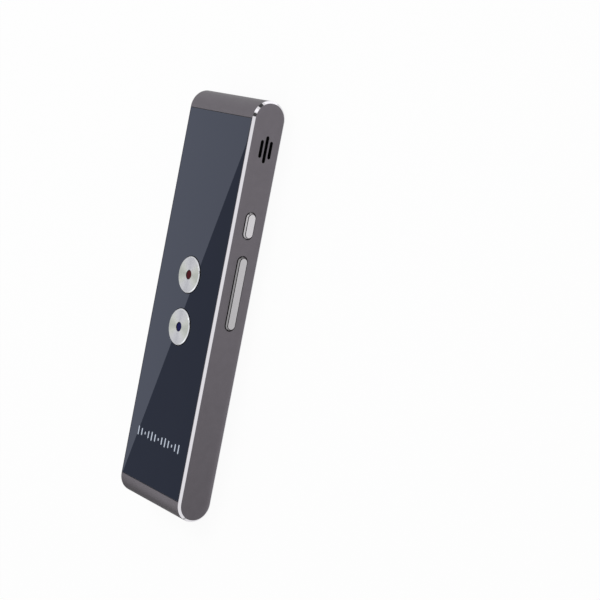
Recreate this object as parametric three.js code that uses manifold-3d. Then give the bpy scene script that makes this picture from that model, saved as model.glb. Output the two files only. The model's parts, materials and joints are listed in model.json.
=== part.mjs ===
import * as THREE from "three";
import { mergeVertices } from "three/addons/utils/BufferGeometryUtils.js";
import Module from "manifold-3d";

const wasm = await Module();
wasm.setup();

// Handheld translator lying on its back. Millimetres, X across with the keys at +X, Y along with
// the speaker end at +Y, Z out of the front. The origin is the middle of the flat back.

// Body
const bodyLength = 138.8;
const bodyWidth = 38;
const bodyDepth = 12.7;
const endRadius = 6.2;
const edgeChamfer = 0.78;
const wall = 1.2;

// Front panel and the glue under it
const panelThickness = 1;
const panelEndMargin = 6.5;
const panelRim = 0.95;
const panelGap = 0.1;
const adhesiveThickness = 0.2;
const adhesiveInset = 0.6;

// Inner frame
const plateThickness = 0.8;
const plateSideGap = 0.15;
const plateEndGap = 0.5;
const collarWall = 0.8;
const collarDepth = 1;
const collarGap = 0.3;

// Main board
const boardThickness = 0.8;
const boardSideGap = 0.6;
const boardToPlate = 2.3;
const boardEndGap = 5.2;
const boardToSpeaker = 5;
const tabGap = 2.4;
const tabWidth = 11;
const notchGap = 0.3;
const notchMargin = 2;

// Frame screws, their posts and bosses
const screwHeadRadius = 1.5;
const screwHeadHeight = 0.65;
const screwShankRadius = 0.75;
const screwLength = 6;
const screwFit = 0.06;
const screwHeadFit = 0.15;
const screwDriveWidth = 1.1;
const screwDriveDepth = 0.35;
const screwEdge = 1.6;
const bossRadius = 2;
const bossFloor = 2;
const gussetThickness = 1.2;
const topRowDrop = 3.4;
const middleRowGap = 8.5;
const bottomRowRise = 12;

// Round buttons
const buttonPitch = 17.5;
const buttonShift = 0.2;
const buttonRadius = 6.05;
const buttonProud = 0.45;
const buttonBevel = 0.2;
const buttonGap = 0.15;
const buttonTravel = 0.3;
const buttonStopGap = 0.05;
const dotRadius = 1.55;
const dotDepth = 0.5;
const dotGap = 0.12;
const dotSink = 0.12;
const hubInset = 0.5;
const hubGap = 0.25;
const flangeOverlap = 1.2;
const flangeThickness = 0.5;
const stemRadius = 1.1;
const stemLength = 0.35;
const topSwitchWidth = 5.2;
const topSwitchPlunger = 1;
const topSwitchReach = 0.35;
const plungerFit = 0.1;
const pocketFloor = 0.25;

// Side keys
const keyWidth = 3.5;
const keyProud = 0.75;
const keyBevel = 0.4;
const keySlotGap = 0.3;
const keyFlangeMargin = 0.7;
const keyFlangeThickness = 0.45;
const powerKeyLength = 8.5;
const powerKeyFromTop = 40.4;
const volumeKeyLength = 24.2;
const volumeKeyFromTop = 62.6;
const rockerGap = 0.35;
const padThickness = 0.4;
const padInset = 0.4;
const nubHeight = 0.3;
const nubLength = 1.6;
const nubWidth = 1.4;
const nubOffset = 8.5;
const fulcrumGap = 0.05;
const fulcrumThickness = 0.95;
const fulcrumWidth = 2;

// Side switches
const sideSwitchLength = 4.6;
const sideSwitchDepth = 2;
const sidePlungerLength = 2;
const sidePlungerHeight = 1.1;
const sidePlungerReach = 0.35;
const sidePlungerInside = 1;
const runningGap = 0.06;

// Speaker and its slots
const speakerFromTop = 15.5;
const speakerLength = 15;
const speakerClearance = 0.2;
const speakerDepth = 3;
const basketWall = 0.6;
const basketFloor = 0.6;
const diaphragmThickness = 0.3;
const diaphragmSink = 0.5;
const diaphragmLedge = 0.7;
const diaphragmGap = 0.1;
const magnetLength = 8;
const magnetHeight = 5.4;
const magnetThickness = 1.4;
const gasketThickness = 0.6;
const gasketWidth = 1.2;
const meshThickness = 0.2;
const meshMargin = 1;
const slotWidth = 1.05;
const slotPitch = 1.8;
const slotDrop = 0.5;
const middleSlotLength = 8.6;
const outerSlotLength = 5.6;
const pocketRibThickness = 1;
const pocketRibHeight = 4.6;
const pocketRibGap = 0.15;
const speakerLeadDiameter = 0.8;
const speakerLeadSpacing = 1.8;
const speakerLeadLand = 2.2;
const speakerLeadInset = 1.3;
const leadGap = 0.05;

// Microphone
const microphoneShift = 11.2;
const microphoneRadius = 2;
const microphoneLength = 1.6;
const microphoneFit = 0.05;
const bootWall = 0.55;
const bootFront = 0.65;
const bootLip = 0.4;
const snoutRadius = 0.95;
const snoutLength = 0.6;
const snoutGap = 0.3;
const soundHoleRadius = 0.5;
const pinWidth = 0.4;
const pinSpacing = 1.3;
const pinGap = 0.1;
const pinLand = 1.2;
const cradleWall = 0.8;
const cradleLength = 1.6;
const cradleGap = 0.1;
const cradleDrop = 0.4;

// Charging socket
const usbWidth = 7.6;
const usbHeight = 2.6;
const usbDepth = 5.7;
const usbWall = 0.3;
const usbCorner = 0.8;
const usbRecess = 0.6;
const usbHoleGap = 0.25;
const tongueWidth = 3.8;
const tongueThickness = 0.65;
const tongueSetback = 0.9;
const tongueBase = 0.9;
const tongueFit = 0.05;

// Battery, its tape, leads and plug
const batterySideGap = 0.6;
const batteryTopGap = 1.15;
const batteryFromEnd = 19;
const batteryLength = 64;
const batteryCorner = 2;
const batteryBevel = 0.6;
const tapeThickness = 0.15;
const tapeInset = 1.2;
const plugWidth = 3.6;
const plugLength = 3.2;
const plugHeight = 1.8;
const plugSeat = 2.2;
const plugShift = -8;
const socketWall = 0.5;
const socketGap = 0.1;
const socketFromEnd = 9.5;
const batteryLeadDiameter = 1;
const batteryLeadSpacing = 1.7;
const batteryLeadRise = 0.9;
const leadBend = 1.5;

// Chips on the board
const mainChipSize = 12;
const mainChipHeight = 1.1;
const memoryChipWidth = 9;
const memoryChipLength = 11;
const memoryChipHeight = 1;
const chipRow = 18;
const chipSpacing = 12.5;
const radioWidth = 13;
const radioLength = 15;
const radioHeight = 1;
const radioDrop = 20;
const shieldWall = 0.2;
const shieldGap = 0.2;
const shieldHeight = 1.7;
const chargeChipSize = 4;
const chargeChipHeight = 0.8;
const chargeChipDrop = 37;
const crystalLength = 3.2;
const crystalWidth = 2.5;
const crystalHeight = 0.7;
const smallPartSpacing = 7;

// One overrun for every cut, and how finely curves are divided
const overrun = 0.5;
const bodySteps = 9;
const cornerSteps = 4;
const discSteps = 32;
const smallSteps = 16;
const leadSides = 8;
const leadSteps = 10;

// Places worked out from the sizes above
const halfLength = bodyLength / 2;
const halfWidth = bodyWidth / 2;
const middleDepth = bodyDepth / 2;
const cornerRadius = Math.min(endRadius, middleDepth);
const cavityHalfWidth = halfWidth - wall;
const panelHalfLength = halfLength - panelEndMargin;
const openingHalfWidth = halfWidth - panelRim;
const plateTop = bodyDepth - panelThickness - adhesiveThickness;
const plateBottom = plateTop - plateThickness;
const boardTop = plateBottom - boardToPlate;
const boardBottom = boardTop - boardThickness;
const boardHalfWidth = cavityHalfWidth - boardSideGap;
const screwX = boardHalfWidth - screwEdge;
const keyZ = middleDepth;
const powerKeyY = halfLength - powerKeyFromTop;
const volumeKeyY = halfLength - volumeKeyFromTop;
const keyFlangeWidth = keyWidth + 2 * keyFlangeMargin;
const volumeFlangeLength = volumeKeyLength + 2 * keyFlangeMargin;
const rockerFlangeX = cavityHalfWidth - rockerGap;
const padX = rockerFlangeX - keyFlangeThickness;
const pivotX = padX - padThickness;
const nubX = pivotX - nubHeight;
const plungerTipX = nubX - runningGap;
const sideSwitchX = plungerTipX - sidePlungerReach;
const fulcrumX = pivotX - fulcrumGap - fulcrumThickness;
const speakerY = halfLength - speakerFromTop;
const speakerZ = (wall + plateBottom) / 2;
const speakerHeight = plateBottom - wall - 2 * speakerClearance;
const basketX = cavityHalfWidth - meshThickness - gasketThickness;
const basketBackX = basketX - speakerDepth;
const boardEndY = speakerY - speakerLength / 2 - boardToSpeaker;
const boardStartY = boardEndGap - halfLength;
const usbZ = boardBottom - usbHeight / 2;
const batteryBottom = wall + tapeThickness;
const batteryTop = boardBottom - batteryTopGap;
const batteryHalfWidth = screwX - bossRadius - batterySideGap;
const batteryStartY = batteryFromEnd - halfLength;
const plugZ = boardBottom - socketWall - socketGap - plugHeight / 2;
const socketY = socketFromEnd - halfLength;
const bootRadius = microphoneRadius + microphoneFit + bootWall;

const screwRows = [
  bottomRowRise - halfLength,
  volumeKeyY - volumeFlangeLength / 2 - middleRowGap,
  boardEndY - topRowDrop,
];
const screwPlaces = screwRows.flatMap((y) => [[-screwX, y], [screwX, y]]);

const buttons = [
  { name: "button_a", y: buttonShift + buttonPitch / 2, colour: 0xc41414 },
  { name: "button_b", y: buttonShift - buttonPitch / 2, colour: 0x0c0c96 },
];

const finish = {
  body: [0x6b646b, 0.5, 0.9],
  panel: [0x30343f, 0.12, 0],
  silver: [0xd2d2d6, 0.25, 1],
  steel: [0xb8b8bc, 0.35, 1],
  magnet: [0x8a8a8e, 0.4, 1],
  darkPlastic: [0x202124, 0.6, 0],
  palePlastic: [0xe6e2d8, 0.55, 0],
  framePlastic: [0x3a3b40, 0.6, 0],
  glue: [0x101012, 0.9, 0],
  foam: [0x26262a, 0.95, 0],
  rubber: [0x1c1c1e, 0.85, 0],
  board: [0x1f5c3a, 0.5, 0],
  chip: [0x17181b, 0.45, 0],
  film: [0x3b3228, 0.6, 0],
  cell: [0xc4c6c9, 0.45, 0.3],
  redLead: [0xb01818, 0.5, 0],
  blackLead: [0x151515, 0.5, 0],
};

const translator = new THREE.Group();

// Geometry to exact solid and back
function solidOf(geometry) {
  const bare = geometry.clone();
  bare.deleteAttribute("normal");
  bare.deleteAttribute("uv");
  const merged = mergeVertices(bare);
  return new wasm.Manifold(new wasm.Mesh({
    numProp: 3,
    vertProperties: merged.attributes.position.array,
    triVerts: new Uint32Array(merged.index.array),
  }));
}

function geometryOf(solid) {
  const mesh = solid.getMesh();
  const geometry = new THREE.BufferGeometry();
  geometry.setAttribute("position", new THREE.BufferAttribute(mesh.vertProperties, mesh.numProp));
  geometry.setIndex(new THREE.BufferAttribute(mesh.triVerts, 1));
  geometry.computeVertexNormals();
  return geometry;
}

function joined(shapes) {
  return shapes.map(solidOf).reduce((whole, solid) => whole.add(solid));
}

// Joins the shapes of the first list and cuts away those of the second
function carved(shapes, cuts) {
  const solid = cuts.map(solidOf).reduce((rest, cut) => rest.subtract(cut), joined(shapes));
  return geometryOf(solid);
}

function keptWithin(shapes, limit) {
  return geometryOf(joined(shapes).intersect(solidOf(limit)));
}

function place(name, geometry, [color, roughness, metalness], colour = color) {
  const material = new THREE.MeshStandardMaterial({ color: colour, roughness, metalness });
  const mesh = new THREE.Mesh(geometry, material);
  mesh.name = name;
  translator.add(mesh);
}

// A box between two values on each axis
function block([x0, x1], [y0, y1], [z0, z1]) {
  const box = new THREE.BoxGeometry(x1 - x0, y1 - y0, z1 - z0);
  return box.translate((x0 + x1) / 2, (y0 + y1) / 2, (z0 + z1) / 2);
}

function around(middle, size) {
  return [middle - size / 2, middle + size / 2];
}

// A round bar along Z
function bar(radius, [x, y], [z0, z1], steps = smallSteps) {
  const cylinder = new THREE.CylinderGeometry(radius, radius, z1 - z0, steps);
  return cylinder.rotateX(Math.PI / 2).translate(x, y, (z0 + z1) / 2);
}

// A shape turned about Z, from points of radius and height
function turned(points, steps) {
  const profile = points.map(([radius, height]) => new THREE.Vector2(radius, height));
  return new THREE.LatheGeometry(profile, steps).rotateX(Math.PI / 2);
}

// A rectangle with round corners about the origin
function roundedOutline(width, height, radius, steps = cornerSteps) {
  const corner = Math.min(radius, width / 2, height / 2);
  const right = width / 2 - corner;
  const top = height / 2 - corner;
  const centres = [[right, top], [-right, top], [-right, -top], [right, -top]];
  const points = [];
  centres.forEach(([x, y], quarter) => {
    for (let step = 0; step <= steps; step += 1) {
      const angle = (quarter + step / steps) * Math.PI / 2;
      points.push(new THREE.Vector2(x + corner * Math.cos(angle), y + corner * Math.sin(angle)));
    }
  });
  const kept = points.filter((point, index) => {
    const before = points.at(index - 1);
    return point.distanceTo(before) > corner / (steps * steps);
  });
  return new THREE.Shape(kept);
}

function extruded(outline, depth, bevel = 0) {
  return new THREE.ExtrudeGeometry(outline, {
    depth: depth - 2 * bevel,
    bevelEnabled: bevel > 0,
    bevelThickness: bevel,
    bevelSize: bevel,
    bevelOffset: -bevel,
    bevelSegments: 1,
  }).translate(0, 0, bevel);
}

const alongX = new THREE.Matrix4().makeBasis(
  new THREE.Vector3(0, 1, 0), new THREE.Vector3(0, 0, 1), new THREE.Vector3(1, 0, 0),
);
const alongY = new THREE.Matrix4().makeBasis(
  new THREE.Vector3(0, 0, 1), new THREE.Vector3(1, 0, 0), new THREE.Vector3(0, 1, 0),
);

// An outline in Y and Z, run along X from x0 to x1
function sideways(outline, [x0, x1], [y, z], bevel = 0) {
  return extruded(outline, x1 - x0, bevel).applyMatrix4(alongX).translate(x0, y, z);
}

// An outline in Z and X, run along Y from y0 to y1
function endways(outline, [y0, y1], [x, z]) {
  return extruded(outline, y1 - y0).applyMatrix4(alongY).translate(x, y0, z);
}

// An outline in X and Y, run along Z from z0 to z1
function upright(outline, [z0, z1], [x, y], bevel = 0) {
  return extruded(outline, z1 - z0, bevel).translate(x, y, z0);
}

// A round lead along a curve through the points
function lead(points, diameter) {
  const curve = new THREE.CatmullRomCurve3(points.map((point) => new THREE.Vector3(...point)));
  const section = new THREE.Shape();
  for (let side = 0; side < leadSides; side += 1) {
    const angle = side / leadSides * Math.PI * 2;
    const x = diameter / 2 * Math.cos(angle);
    const y = diameter / 2 * Math.sin(angle);
    if (side === 0) {
      section.moveTo(x, y);
    } else {
      section.lineTo(x, y);
    }
  }
  return new THREE.ExtrudeGeometry(section, { steps: leadSteps, extrudePath: curve });
}

// Housing
function bodyProfile(inset) {
  const length = bodyLength - 2 * inset;
  const depth = bodyDepth - 2 * inset;
  return roundedOutline(length, depth, cornerRadius - inset, bodySteps);
}

function speakerSlots() {
  const cut = [cavityHalfWidth - overrun, halfWidth + overrun];
  const lengths = [outerSlotLength, middleSlotLength, outerSlotLength];
  return lengths.map((length, index) => {
    const z = middleDepth - slotDrop + (index - 1) * slotPitch;
    return sideways(roundedOutline(length, slotWidth, slotWidth / 2), cut, [speakerY, z]);
  });
}

function keySlot(length, y) {
  const outline = roundedOutline(length + 2 * keySlotGap, keyWidth + 2 * keySlotGap, keyWidth);
  return sideways(outline, [cavityHalfWidth - overrun, halfWidth + overrun], [y, keyZ]);
}

function bosses() {
  return screwPlaces.flatMap(([x, y]) => {
    const outward = Math.sign(x) * (cavityHalfWidth + wall / 2);
    const gusset = [Math.min(x, outward), Math.max(x, outward)];
    return [
      bar(bossRadius, [x, y], [0, boardBottom]),
      block(gusset, around(y, gussetThickness), [0, middleDepth]),
    ];
  });
}

function speakerPocket() {
  const height = [0, wall + pocketRibHeight];
  const reach = [basketBackX, cavityHalfWidth + wall / 2];
  const offset = speakerLength / 2 + pocketRibGap + pocketRibThickness / 2;
  const backX = basketBackX - magnetThickness - pocketRibGap - pocketRibThickness / 2;
  return [
    block(reach, around(speakerY - offset, pocketRibThickness), height),
    block(reach, around(speakerY + offset, pocketRibThickness), height),
    block(around(backX, pocketRibThickness), around(speakerY, magnetLength), height),
  ];
}

// The boot lies along Y, so a bar in the same place cuts its cradle
const bootTipY = snoutGap - (halfLength - wall);
const bootEndY = bootTipY + snoutLength + bootFront + microphoneLength + bootLip;

function alongYBar(radius, [y0, y1], [x, z], steps = smallSteps) {
  return new THREE.CylinderGeometry(radius, radius, y1 - y0, steps).translate(x, (y0 + y1) / 2, z);
}

function microphoneCradle() {
  const width = 2 * (bootRadius + cradleGap + cradleWall);
  const length = [bootEndY - bootLip - cradleLength, bootEndY - bootLip];
  return block(around(microphoneShift, width), length, [0, middleDepth - cradleDrop]);
}

function cradleCut() {
  const length = [bootTipY, bootEndY + overrun];
  return alongYBar(bootRadius + cradleGap, length, [microphoneShift, middleDepth]);
}

function housing() {
  const full = sideways(bodyProfile(0), [-halfWidth, halfWidth], [0, middleDepth], edgeChamfer);
  const inner = [-cavityHalfWidth, cavityHalfWidth];
  const cavity = sideways(bodyProfile(wall), inner, [0, middleDepth]);
  const opening = 2 * (panelHalfLength + panelGap);
  const front = [plateTop, bodyDepth + overrun];
  const recess = block(around(0, 2 * openingHalfWidth), around(0, opening), front);
  const well = block(inner, around(0, opening), [middleDepth, bodyDepth + overrun]);
  const usbHole = endways(
    roundedOutline(usbHeight + 2 * usbHoleGap, usbWidth + 2 * usbHoleGap, usbCorner + usbHoleGap),
    [-halfLength - overrun, usbDepth - halfLength], [0, usbZ],
  );
  const soundHole = alongYBar(
    soundHoleRadius, [-halfLength - overrun, bootTipY], [microphoneShift, middleDepth],
  );
  const shell = carved([full], [cavity, recess, well]);
  const core = [wall / 2 - halfWidth, halfWidth - wall / 2];
  const fittings = keptWithin(
    [...bosses(), ...speakerPocket(), microphoneCradle()],
    sideways(bodyProfile(wall / 2), core, [0, middleDepth]),
  );
  const screwBores = screwPlaces.map((place) => (
    bar(screwShankRadius + screwFit, place, [bossFloor, boardBottom + overrun])
  ));
  return carved(
    [shell, fittings],
    [
      ...screwBores, ...speakerSlots(), cradleCut(), soundHole, usbHole,
      keySlot(powerKeyLength, powerKeyY), keySlot(volumeKeyLength, volumeKeyY),
    ],
  );
}

// Front panel, its glue and the inner frame
function frontPanel() {
  const width = 2 * (openingHalfWidth - panelGap);
  const height = [bodyDepth - panelThickness, bodyDepth];
  const sheet = block(around(0, width), around(0, 2 * panelHalfLength), height);
  const holes = buttons.map(({ y }) => (
    bar(buttonRadius + buttonGap, [0, y], [height[0] - overrun, bodyDepth + overrun], discSteps)
  ));
  return carved([sheet], holes);
}

function panelAdhesive() {
  const width = 2 * (cavityHalfWidth - adhesiveInset);
  const length = 2 * (panelHalfLength - adhesiveInset);
  const height = [plateTop, plateTop + adhesiveThickness];
  const holes = buttons.map(({ y }) => (
    bar(buttonRadius + 2 * buttonGap, [0, y], [height[0] - overrun, height[1] + overrun], discSteps)
  ));
  return carved([block(around(0, width), around(0, length), height)], holes);
}

function innerFrame() {
  const hubRadius = buttonRadius - hubInset;
  const flangeRadius = hubRadius + flangeOverlap;
  const plate = block(
    around(0, 2 * (cavityHalfWidth - plateSideGap)),
    around(0, 2 * (panelHalfLength - plateEndGap)),
    [plateBottom, plateTop],
  );
  const posts = screwPlaces.map((place) => bar(bossRadius, place, [boardTop, plateTop - overrun]));
  const collars = buttons.map(({ y }) => (
    bar(flangeRadius + collarGap + collarWall, [0, y], [plateBottom - collarDepth, plateTop - overrun],
      discSteps)
  ));
  const fulcrum = block(
    [fulcrumX, fulcrumX + fulcrumThickness],
    around(volumeKeyY, fulcrumWidth),
    [keyZ - nubWidth / 2, plateTop - overrun],
  );
  const collarCuts = buttons.map(({ y }) => (
    bar(flangeRadius + collarGap, [0, y], [plateBottom - collarDepth - overrun, plateBottom], discSteps)
  ));
  const hubCuts = buttons.map(({ y }) => (
    bar(hubRadius + hubGap, [0, y], [plateBottom - overrun, plateTop + overrun], discSteps)
  ));
  const headCuts = screwPlaces.map((place) => (
    bar(screwHeadRadius + screwHeadFit, place, [plateBottom, plateTop + overrun])
  ));
  const screwBores = screwPlaces.map((place) => (
    bar(screwShankRadius + screwFit, place, [boardTop - overrun, plateTop + overrun])
  ));
  return carved(
    [plate, ...posts, ...collars, fulcrum],
    [...collarCuts, ...hubCuts, ...headCuts, ...screwBores],
  );
}

function frameScrew(place) {
  const head = bar(screwHeadRadius, place, [plateBottom, plateBottom + screwHeadHeight]);
  const shank = bar(screwShankRadius, place, [plateBottom - screwLength, plateBottom + screwFit]);
  const top = plateBottom + screwHeadHeight;
  const drive = [top - screwDriveDepth, top + overrun];
  const arm = screwDriveWidth / 3;
  const [x, y] = place;
  return carved([head, shank], [
    block(around(x, screwDriveWidth), around(y, arm), drive),
    block(around(x, arm), around(y, screwDriveWidth), drive),
  ]);
}

// Main board and what is soldered on it
function mainBoard() {
  const notchX = fulcrumX - notchGap;
  const notchLow = volumeKeyY - volumeFlangeLength / 2 - notchMargin;
  const notchHigh = powerKeyY + powerKeyLength / 2 + keyFlangeMargin + notchMargin;
  const cornerX = microphoneShift - bootRadius - notchGap;
  const cornerY = bootEndY + notchGap;
  const height = [boardBottom, boardTop];
  const past = [boardBottom - overrun, boardTop + overrun];
  const main = block(around(0, 2 * boardHalfWidth), [boardStartY, boardEndY], height);
  const tab = block(around(0, tabWidth), [tabGap - halfLength, boardStartY + overrun], height);
  const notch = block([notchX, halfWidth], [notchLow, notchHigh], past);
  const corner = block([cornerX, halfWidth], [-halfLength, cornerY], past);
  const holes = screwPlaces.map((place) => bar(screwShankRadius + screwHeadFit, place, past));
  return carved([main, tab], [notch, corner, ...holes]);
}

function onBoard(size, [x, y], height) {
  return block(around(x, size[0]), around(y, size[1]), [boardTop, boardTop + height]);
}

function placeChips() {
  const chipY = buttons[0].y + chipRow;
  const radioPlace = [0, buttons[1].y - radioDrop];
  const smallY = buttons[1].y - chargeChipDrop;
  const inside = [radioWidth + 2 * shieldGap, radioLength + 2 * shieldGap];
  const outside = inside.map((size) => size + 2 * shieldWall);
  const lid = shieldHeight - shieldWall;
  place("main_chip",
    onBoard([mainChipSize, mainChipSize], [-chipSpacing / 2, chipY], mainChipHeight), finish.chip);
  place("memory_chip",
    onBoard([memoryChipWidth, memoryChipLength], [chipSpacing / 2, chipY], memoryChipHeight),
    finish.chip);
  place("radio_module", onBoard([radioWidth, radioLength], radioPlace, radioHeight), finish.board);
  place("radio_shield", carved(
    [onBoard(outside, radioPlace, shieldHeight)],
    [block(around(radioPlace[0], inside[0]), around(radioPlace[1], inside[1]),
      [boardTop - overrun, boardTop + lid])],
  ), finish.steel);
  place("charge_chip",
    onBoard([chargeChipSize, chargeChipSize], [smallPartSpacing, smallY], chargeChipHeight),
    finish.chip);
  place("crystal",
    onBoard([crystalLength, crystalWidth], [-smallPartSpacing, smallY], crystalHeight),
    finish.steel);
}

// A round button: cap with its dot, carrier under the frame's plate, and the switch below
function placeButton({ name, y, colour }) {
  const top = bodyDepth + buttonProud;
  const hubTop = plateTop + buttonTravel + buttonStopGap;
  const hubRadius = buttonRadius - hubInset;
  const flangeRadius = hubRadius + flangeOverlap;
  const flangeBottom = plateBottom - flangeThickness;
  const stemBottom = flangeBottom - stemLength;
  const dotFloor = top - dotSink - dotDepth;
  const cap = turned([
    [0, hubTop],
    [buttonRadius, hubTop],
    [buttonRadius, top - buttonBevel],
    [buttonRadius - buttonBevel, top],
    [dotRadius + dotGap, top],
    [dotRadius + dotGap, dotFloor],
    [0, dotFloor],
  ], discSteps);
  const carrier = turned([
    [0, stemBottom],
    [stemRadius, stemBottom],
    [stemRadius, flangeBottom],
    [flangeRadius, flangeBottom],
    [flangeRadius, plateBottom],
    [hubRadius, plateBottom],
    [hubRadius, hubTop],
    [0, hubTop],
  ], discSteps);
  const dot = bar(dotRadius, [0, 0], [dotFloor, top - dotSink], discSteps);
  place(`${name}_cap`, cap.translate(0, y, 0), finish.silver);
  place(`${name}_dot`, dot.translate(0, y, 0), finish.palePlastic, colour);
  place(`${name}_carrier`, carrier.translate(0, y, 0), finish.framePlastic);
  placeTopSwitch(name, y, stemBottom);
}

function placeTopSwitch(name, y, tip) {
  const caseTop = tip - topSwitchReach;
  const pocketBottom = boardTop + pocketFloor;
  const pocketRadius = topSwitchPlunger + plungerFit;
  const body = block(around(0, topSwitchWidth), around(y, topSwitchWidth), [boardTop, caseTop]);
  const pocket = bar(pocketRadius, [0, y], [pocketBottom, caseTop + overrun]);
  const plungerBottom = pocketBottom + buttonTravel + buttonStopGap;
  place(`${name}_switch_case`, carved([body], [pocket]), finish.darkPlastic);
  place(`${name}_switch_plunger`,
    bar(topSwitchPlunger, [0, y], [plungerBottom, tip]), finish.steel);
}

// Side keys
function keyShape(length, y, flangeX) {
  const head = sideways(
    roundedOutline(length, keyWidth, keyWidth / 2),
    [flangeX - keyFlangeThickness, halfWidth + keyProud], [y, keyZ], keyBevel,
  );
  const flange = block(
    [flangeX - keyFlangeThickness, flangeX],
    around(y, length + 2 * keyFlangeMargin),
    around(keyZ, keyFlangeWidth),
  );
  return [head, flange];
}

function placePowerKey() {
  const nub = block(
    [nubX, cavityHalfWidth - keyFlangeThickness / 2],
    around(powerKeyY, nubLength),
    around(keyZ, nubWidth),
  );
  const key = carved([...keyShape(powerKeyLength, powerKeyY, cavityHalfWidth), nub], []);
  place("power_key", key, finish.silver);
  placeSideSwitch("power", powerKeyY);
}

function placeVolumeKey() {
  const padLength = volumeFlangeLength - 2 * padInset;
  const padWidth = keyFlangeWidth - 2 * padInset;
  const pad = block([pivotX, padX], around(volumeKeyY, padLength), around(keyZ, padWidth));
  const nubs = [nubOffset, -nubOffset].map((offset) => block(
    [nubX, padX], around(volumeKeyY + offset, nubLength), around(keyZ, nubWidth),
  ));
  place("volume_key", carved(keyShape(volumeKeyLength, volumeKeyY, rockerFlangeX), []),
    finish.silver);
  place("volume_key_pad", carved([pad, ...nubs], []), finish.rubber);
  placeSideSwitch("volume_up", volumeKeyY + nubOffset);
  placeSideSwitch("volume_down", volumeKeyY - nubOffset);
}

// A side switch hangs under the board with its plunger facing the key
function placeSideSwitch(name, y) {
  const low = 2 * keyZ - boardBottom;
  const body = block(
    [sideSwitchX - sideSwitchDepth, sideSwitchX],
    around(y, sideSwitchLength),
    [low, boardBottom],
  );
  const pocket = block(
    [sideSwitchX - sidePlungerInside - sidePlungerReach, sideSwitchX + overrun],
    around(y, sidePlungerLength + 2 * plungerFit),
    around(keyZ, sidePlungerHeight + 2 * plungerFit),
  );
  const plunger = block(
    [sideSwitchX - sidePlungerInside, plungerTipX],
    around(y, sidePlungerLength),
    around(keyZ, sidePlungerHeight),
  );
  place(`${name}_switch_case`, carved([body], [pocket]), finish.darkPlastic);
  place(`${name}_switch_plunger`, plunger, finish.steel);
}

// Speaker, firing through the slots in the side
function speakerOutline(inset) {
  const length = speakerLength - 2 * inset;
  const height = speakerHeight - 2 * inset;
  return roundedOutline(length, height, height / 2);
}

function speakerLayer(inset, span) {
  return sideways(speakerOutline(inset), span, [speakerY, speakerZ]);
}

function placeSpeaker() {
  const seatX = basketX - diaphragmSink;
  const ledgeInset = basketWall + diaphragmLedge;
  const magnetOutline = roundedOutline(magnetLength, magnetHeight, magnetHeight / 2);
  const magnetSpan = [basketBackX - magnetThickness, basketBackX];
  const meshOutline = roundedOutline(
    middleSlotLength + 2 * meshMargin, 2 * slotPitch + slotWidth + 2 * meshMargin, slotPitch,
  );
  place("speaker_basket", carved(
    [speakerLayer(0, [basketBackX, basketX])],
    [
      speakerLayer(basketWall, [seatX, basketX + overrun]),
      speakerLayer(ledgeInset, [basketBackX + basketFloor, basketX]),
    ],
  ), finish.darkPlastic);
  place("speaker_magnet",
    sideways(magnetOutline, magnetSpan, [speakerY, speakerZ]), finish.magnet);
  place("speaker_diaphragm",
    speakerLayer(basketWall + diaphragmGap, [seatX, seatX + diaphragmThickness]), finish.foam);
  place("speaker_gasket", carved(
    [speakerLayer(0, [basketX, basketX + gasketThickness])],
    [speakerLayer(gasketWidth, [basketX - overrun, basketX + gasketThickness + overrun])],
  ), finish.foam);
  place("speaker_mesh", sideways(
    meshOutline, [cavityHalfWidth - meshThickness, cavityHalfWidth],
    [speakerY, middleDepth - slotDrop],
  ), finish.darkPlastic);
  [1, 2].forEach(placeSpeakerLead);
}

// Each lead runs from the basket's back over the pocket's end to the board's underside
function placeSpeakerLead(number) {
  const z = speakerZ + (number - 1) * speakerLeadSpacing;
  const fromX = basketBackX - leadGap;
  const startY = speakerY - speakerLength / 2 + speakerLeadLand;
  const landX = fromX - speakerLeadInset - number * speakerLeadSpacing;
  const landY = boardEndY - speakerLeadLand;
  const landZ = boardBottom - leadGap;
  const middleY = (speakerY - speakerLength / 2 + boardEndY) / 2;
  const dip = boardBottom - speakerLeadDiameter - leadBend;
  const route = [
    [fromX, startY, z],
    [fromX - speakerLeadDiameter, startY, z],
    [landX, middleY, dip],
    [landX, landY, landZ - speakerLeadDiameter],
    [landX, landY, landZ],
  ];
  place(`speaker_lead_${number}`, lead(route, speakerLeadDiameter),
    number === 1 ? finish.redLead : finish.blackLead);
}

// Microphone in its boot, facing the hole in the bottom end
function placeMicrophone() {
  const cup = microphoneRadius + microphoneFit;
  const front = snoutLength + bootFront;
  const length = front + microphoneLength + bootLip;
  const profile = [
    [soundHoleRadius, 0],
    [snoutRadius, 0],
    [snoutRadius, snoutLength],
    [bootRadius, snoutLength],
    [bootRadius, length],
    [cup, length],
    [cup, front],
    [soundHoleRadius, front],
    [soundHoleRadius, 0],
  ];
  const boot = new THREE.LatheGeometry(
    profile.map(([radius, height]) => new THREE.Vector2(radius, height)), smallSteps,
  ).translate(microphoneShift, bootTipY, middleDepth);
  const back = bootTipY + front + microphoneLength;
  const capsule = alongYBar(
    microphoneRadius, [back - microphoneLength, back], [microphoneShift, middleDepth],
  );
  const pinTop = boardBottom - pinGap;
  const pins = [pinSpacing / 2, -pinSpacing / 2].map((offset) => block(
    around(microphoneShift + offset, pinWidth),
    [back - overrun, bootEndY + notchGap + pinLand],
    [pinTop - pinWidth, pinTop],
  ));
  place("microphone_boot", boot, finish.rubber);
  place("microphone", carved([capsule, ...pins], []), finish.steel);
}

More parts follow.
